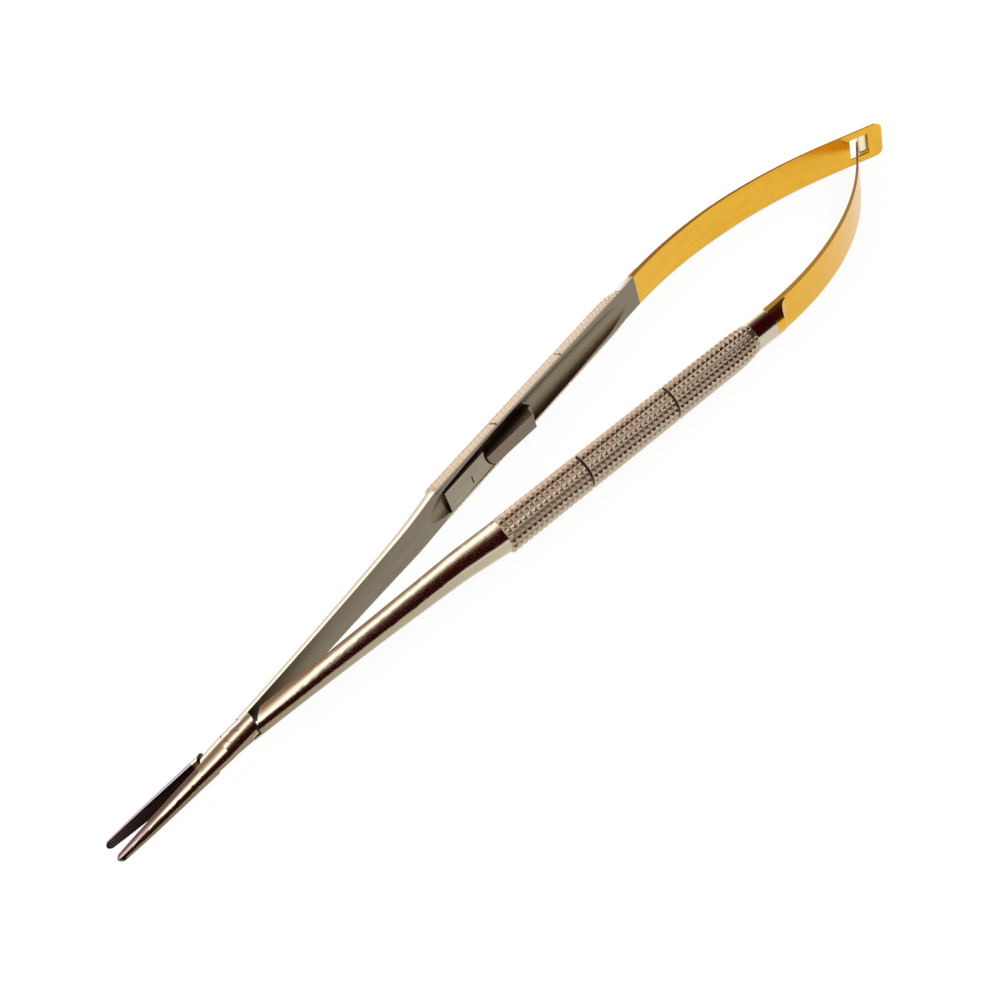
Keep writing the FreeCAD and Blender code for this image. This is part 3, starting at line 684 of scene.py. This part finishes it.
def painted_reflection_card(name, grid, band, stops):
    """A stage surface that glows by a ramp over its band values, and is seen by reflections alone: a painted
    reflection.
    """
    rows, columns = grid.shape[:2]
    mesh = bpy.data.meshes.new(name)
    mesh.from_pydata(grid.reshape(-1, 3).tolist(), [], grid_faces(rows, columns).tolist())
    values = mesh.attributes.new("band", "FLOAT", "POINT")
    values.data.foreach_set("value", band.astype(np.float32).ravel())
    holder = bpy.data.objects.new(name, mesh)
    bpy.context.scene.collection.objects.link(holder)
    paint = bpy.data.materials.new(name)
    paint.use_nodes = True
    tree = paint.node_tree
    tree.nodes.remove(tree.nodes["Principled BSDF"])
    glow, level = tree.nodes.new("ShaderNodeEmission"), tree.nodes.new("ShaderNodeAttribute")
    ramp = tree.nodes.new("ShaderNodeValToRGB")
    level.attribute_name = "band"
    glow.inputs["Strength"].default_value = REFLECTION_GLOW
    while len(ramp.color_ramp.elements) < len(stops):
        ramp.color_ramp.elements.new(0.5)
    for element, (place, colour) in zip(ramp.color_ramp.elements, stops):
        element.position, element.color = place, (*colour, 1)
    tree.links.new(level.outputs["Fac"], ramp.inputs["Fac"])
    tree.links.new(ramp.outputs["Color"], glow.inputs["Color"])
    tree.links.new(glow.outputs[0], tree.nodes["Material Output"].inputs["Surface"])
    mesh.materials.append(paint)
    holder.visible_camera = holder.visible_diffuse = holder.visible_shadow = False
    holder.visible_transmission = holder.visible_volume_scatter = False


# The colours of the painted reflections on the steel, dark, white, brown and white again.
REFLECTION_BANDS = [(0.0, (0.012, 0.001, 0.001)), (0.28, (0.018, 0.001, 0.001)), (0.36, (0.10, 0.06, 0.03)),
          (0.42, (0.48, 0.46, 0.44)), (0.47, (1, 1, 1)), (0.53, (1, 1, 1)), (0.555, (0.55, 0.52, 0.50)),
          (0.60, (0.27, 0.20, 0.16)), (0.64, (0.17, 0.11, 0.08)), (0.70, (0.14, 0.085, 0.07)),
          (0.745, (0.25, 0.20, 0.19)), (0.78, (0.75, 0.75, 0.78)), (0.88, (0.8, 0.8, 0.82)),
          (1.0, (0.3, 0.26, 0.26))]
WHITE_BAND, BROWN_SHARE, BACK_BAND, BACK_STEP = 0.5, 0.25, 0.745, 0.04
BACK_ANGLE, HALF_CIRCLE = 132.0, 180
FLOOR_LEVEL = PIVOT * (1, 1, 0)

# The middle of the white band climbs with the way along; below it the ramp's first half is spent, above it
# a quarter, and past the back angle the white behind, which fades out beyond the handles.
along = np.linspace(TUNNEL_START, TUNNEL_END, 201)
white = np.interp(along, (0, 8, 21, 43, 75, 175), (36, 56, 76, 86, 106, 126))[None, :]
fade = np.interp(along, (120, 160), (1, 0))[None, :]
turn = np.linspace(0, HALF_CIRCLE, 91)[:, None] + 0 * white
band = np.where(turn < white, WHITE_BAND * turn / white,
                WHITE_BAND + BROWN_SHARE * (turn - white) / (BACK_ANGLE - white))
behind = BACK_STEP + (1 - BACK_BAND - BACK_STEP) * (turn - BACK_ANGLE) / (HALF_CIRCLE - BACK_ANGLE)
band = np.where(turn > BACK_ANGLE, BACK_BAND + fade * behind, band)
tunnel = np.stack([along[None, :] + 0 * turn, -CARD_DISTANCE * np.cos(np.radians(turn)),
                   CARD_DISTANCE * np.sin(np.radians(turn))], -1)
painted_reflection_card("painted_reflection_tunnel", tunnel * MM + FLOOR_LEVEL, band, REFLECTION_BANDS)

# %% [markdown]
# ## Painted reflections on the floor
# Low down, the steel mirrors what lies beside it. A dark sheet, seen by reflections alone, reaches from the
# front up to the tool and paints a dark reflection there, and a dull mat fills the gap between them, a hair
# above the floor, painting a reflection that grows lighter towards the handles.

# %% Sheet and mat
SHEET_HEIGHT, MAT_HEIGHT = 0.05, 0.04
DULL_REFLECTION = [(0.0, (0.16, 0.133, 0.10)), (1.0, (0.375, 0.36, 0.32))]


def flat_strip(x, y_from, y_to, height):
    """A strip on the floor between two edges, as a grid of two rows, in millimetres from the pivot."""
    level = np.full(len(x), height)
    return np.stack([np.column_stack([x, y_from, level]), np.column_stack([x, y_to, level])])


sheet_edge = [(TUNNEL_START, -6.5), (-12, -6.5), (8, -10), (28, -16), (45, -32), (61, -66), (70, -100)]
x, edge = np.array(sheet_edge).T
sheet = flat_strip(x, edge, np.full(len(x), -CARD_DISTANCE), SHEET_HEIGHT)
# Painted reflection: the dark sheet shows only in the steel.
painted_reflection_card("painted_dark_reflection_sheet", sheet * MM + FLOOR_LEVEL, np.zeros((2, len(x))), REFLECTION_BANDS)
mat_edges = [(TUNNEL_START, 30, -6.5), (-12, 1.2, -6.5), (0, 0.4, -8.2), (8, 0, -10), (28, -2.6, -16),
             (45, -4.8, -16)]
x, behind_edge, front_edge = np.array(mat_edges).T
shade = np.interp(x, (-12, 8, 28, 45), (0, 0.35, 0.7, 1.0))
mat = flat_strip(x, behind_edge, front_edge, MAT_HEIGHT)
painted_reflection_card("painted_reflection_mat", mat * MM + FLOOR_LEVEL, np.stack([shade, shade]), DULL_REFLECTION)
print("cards ready")
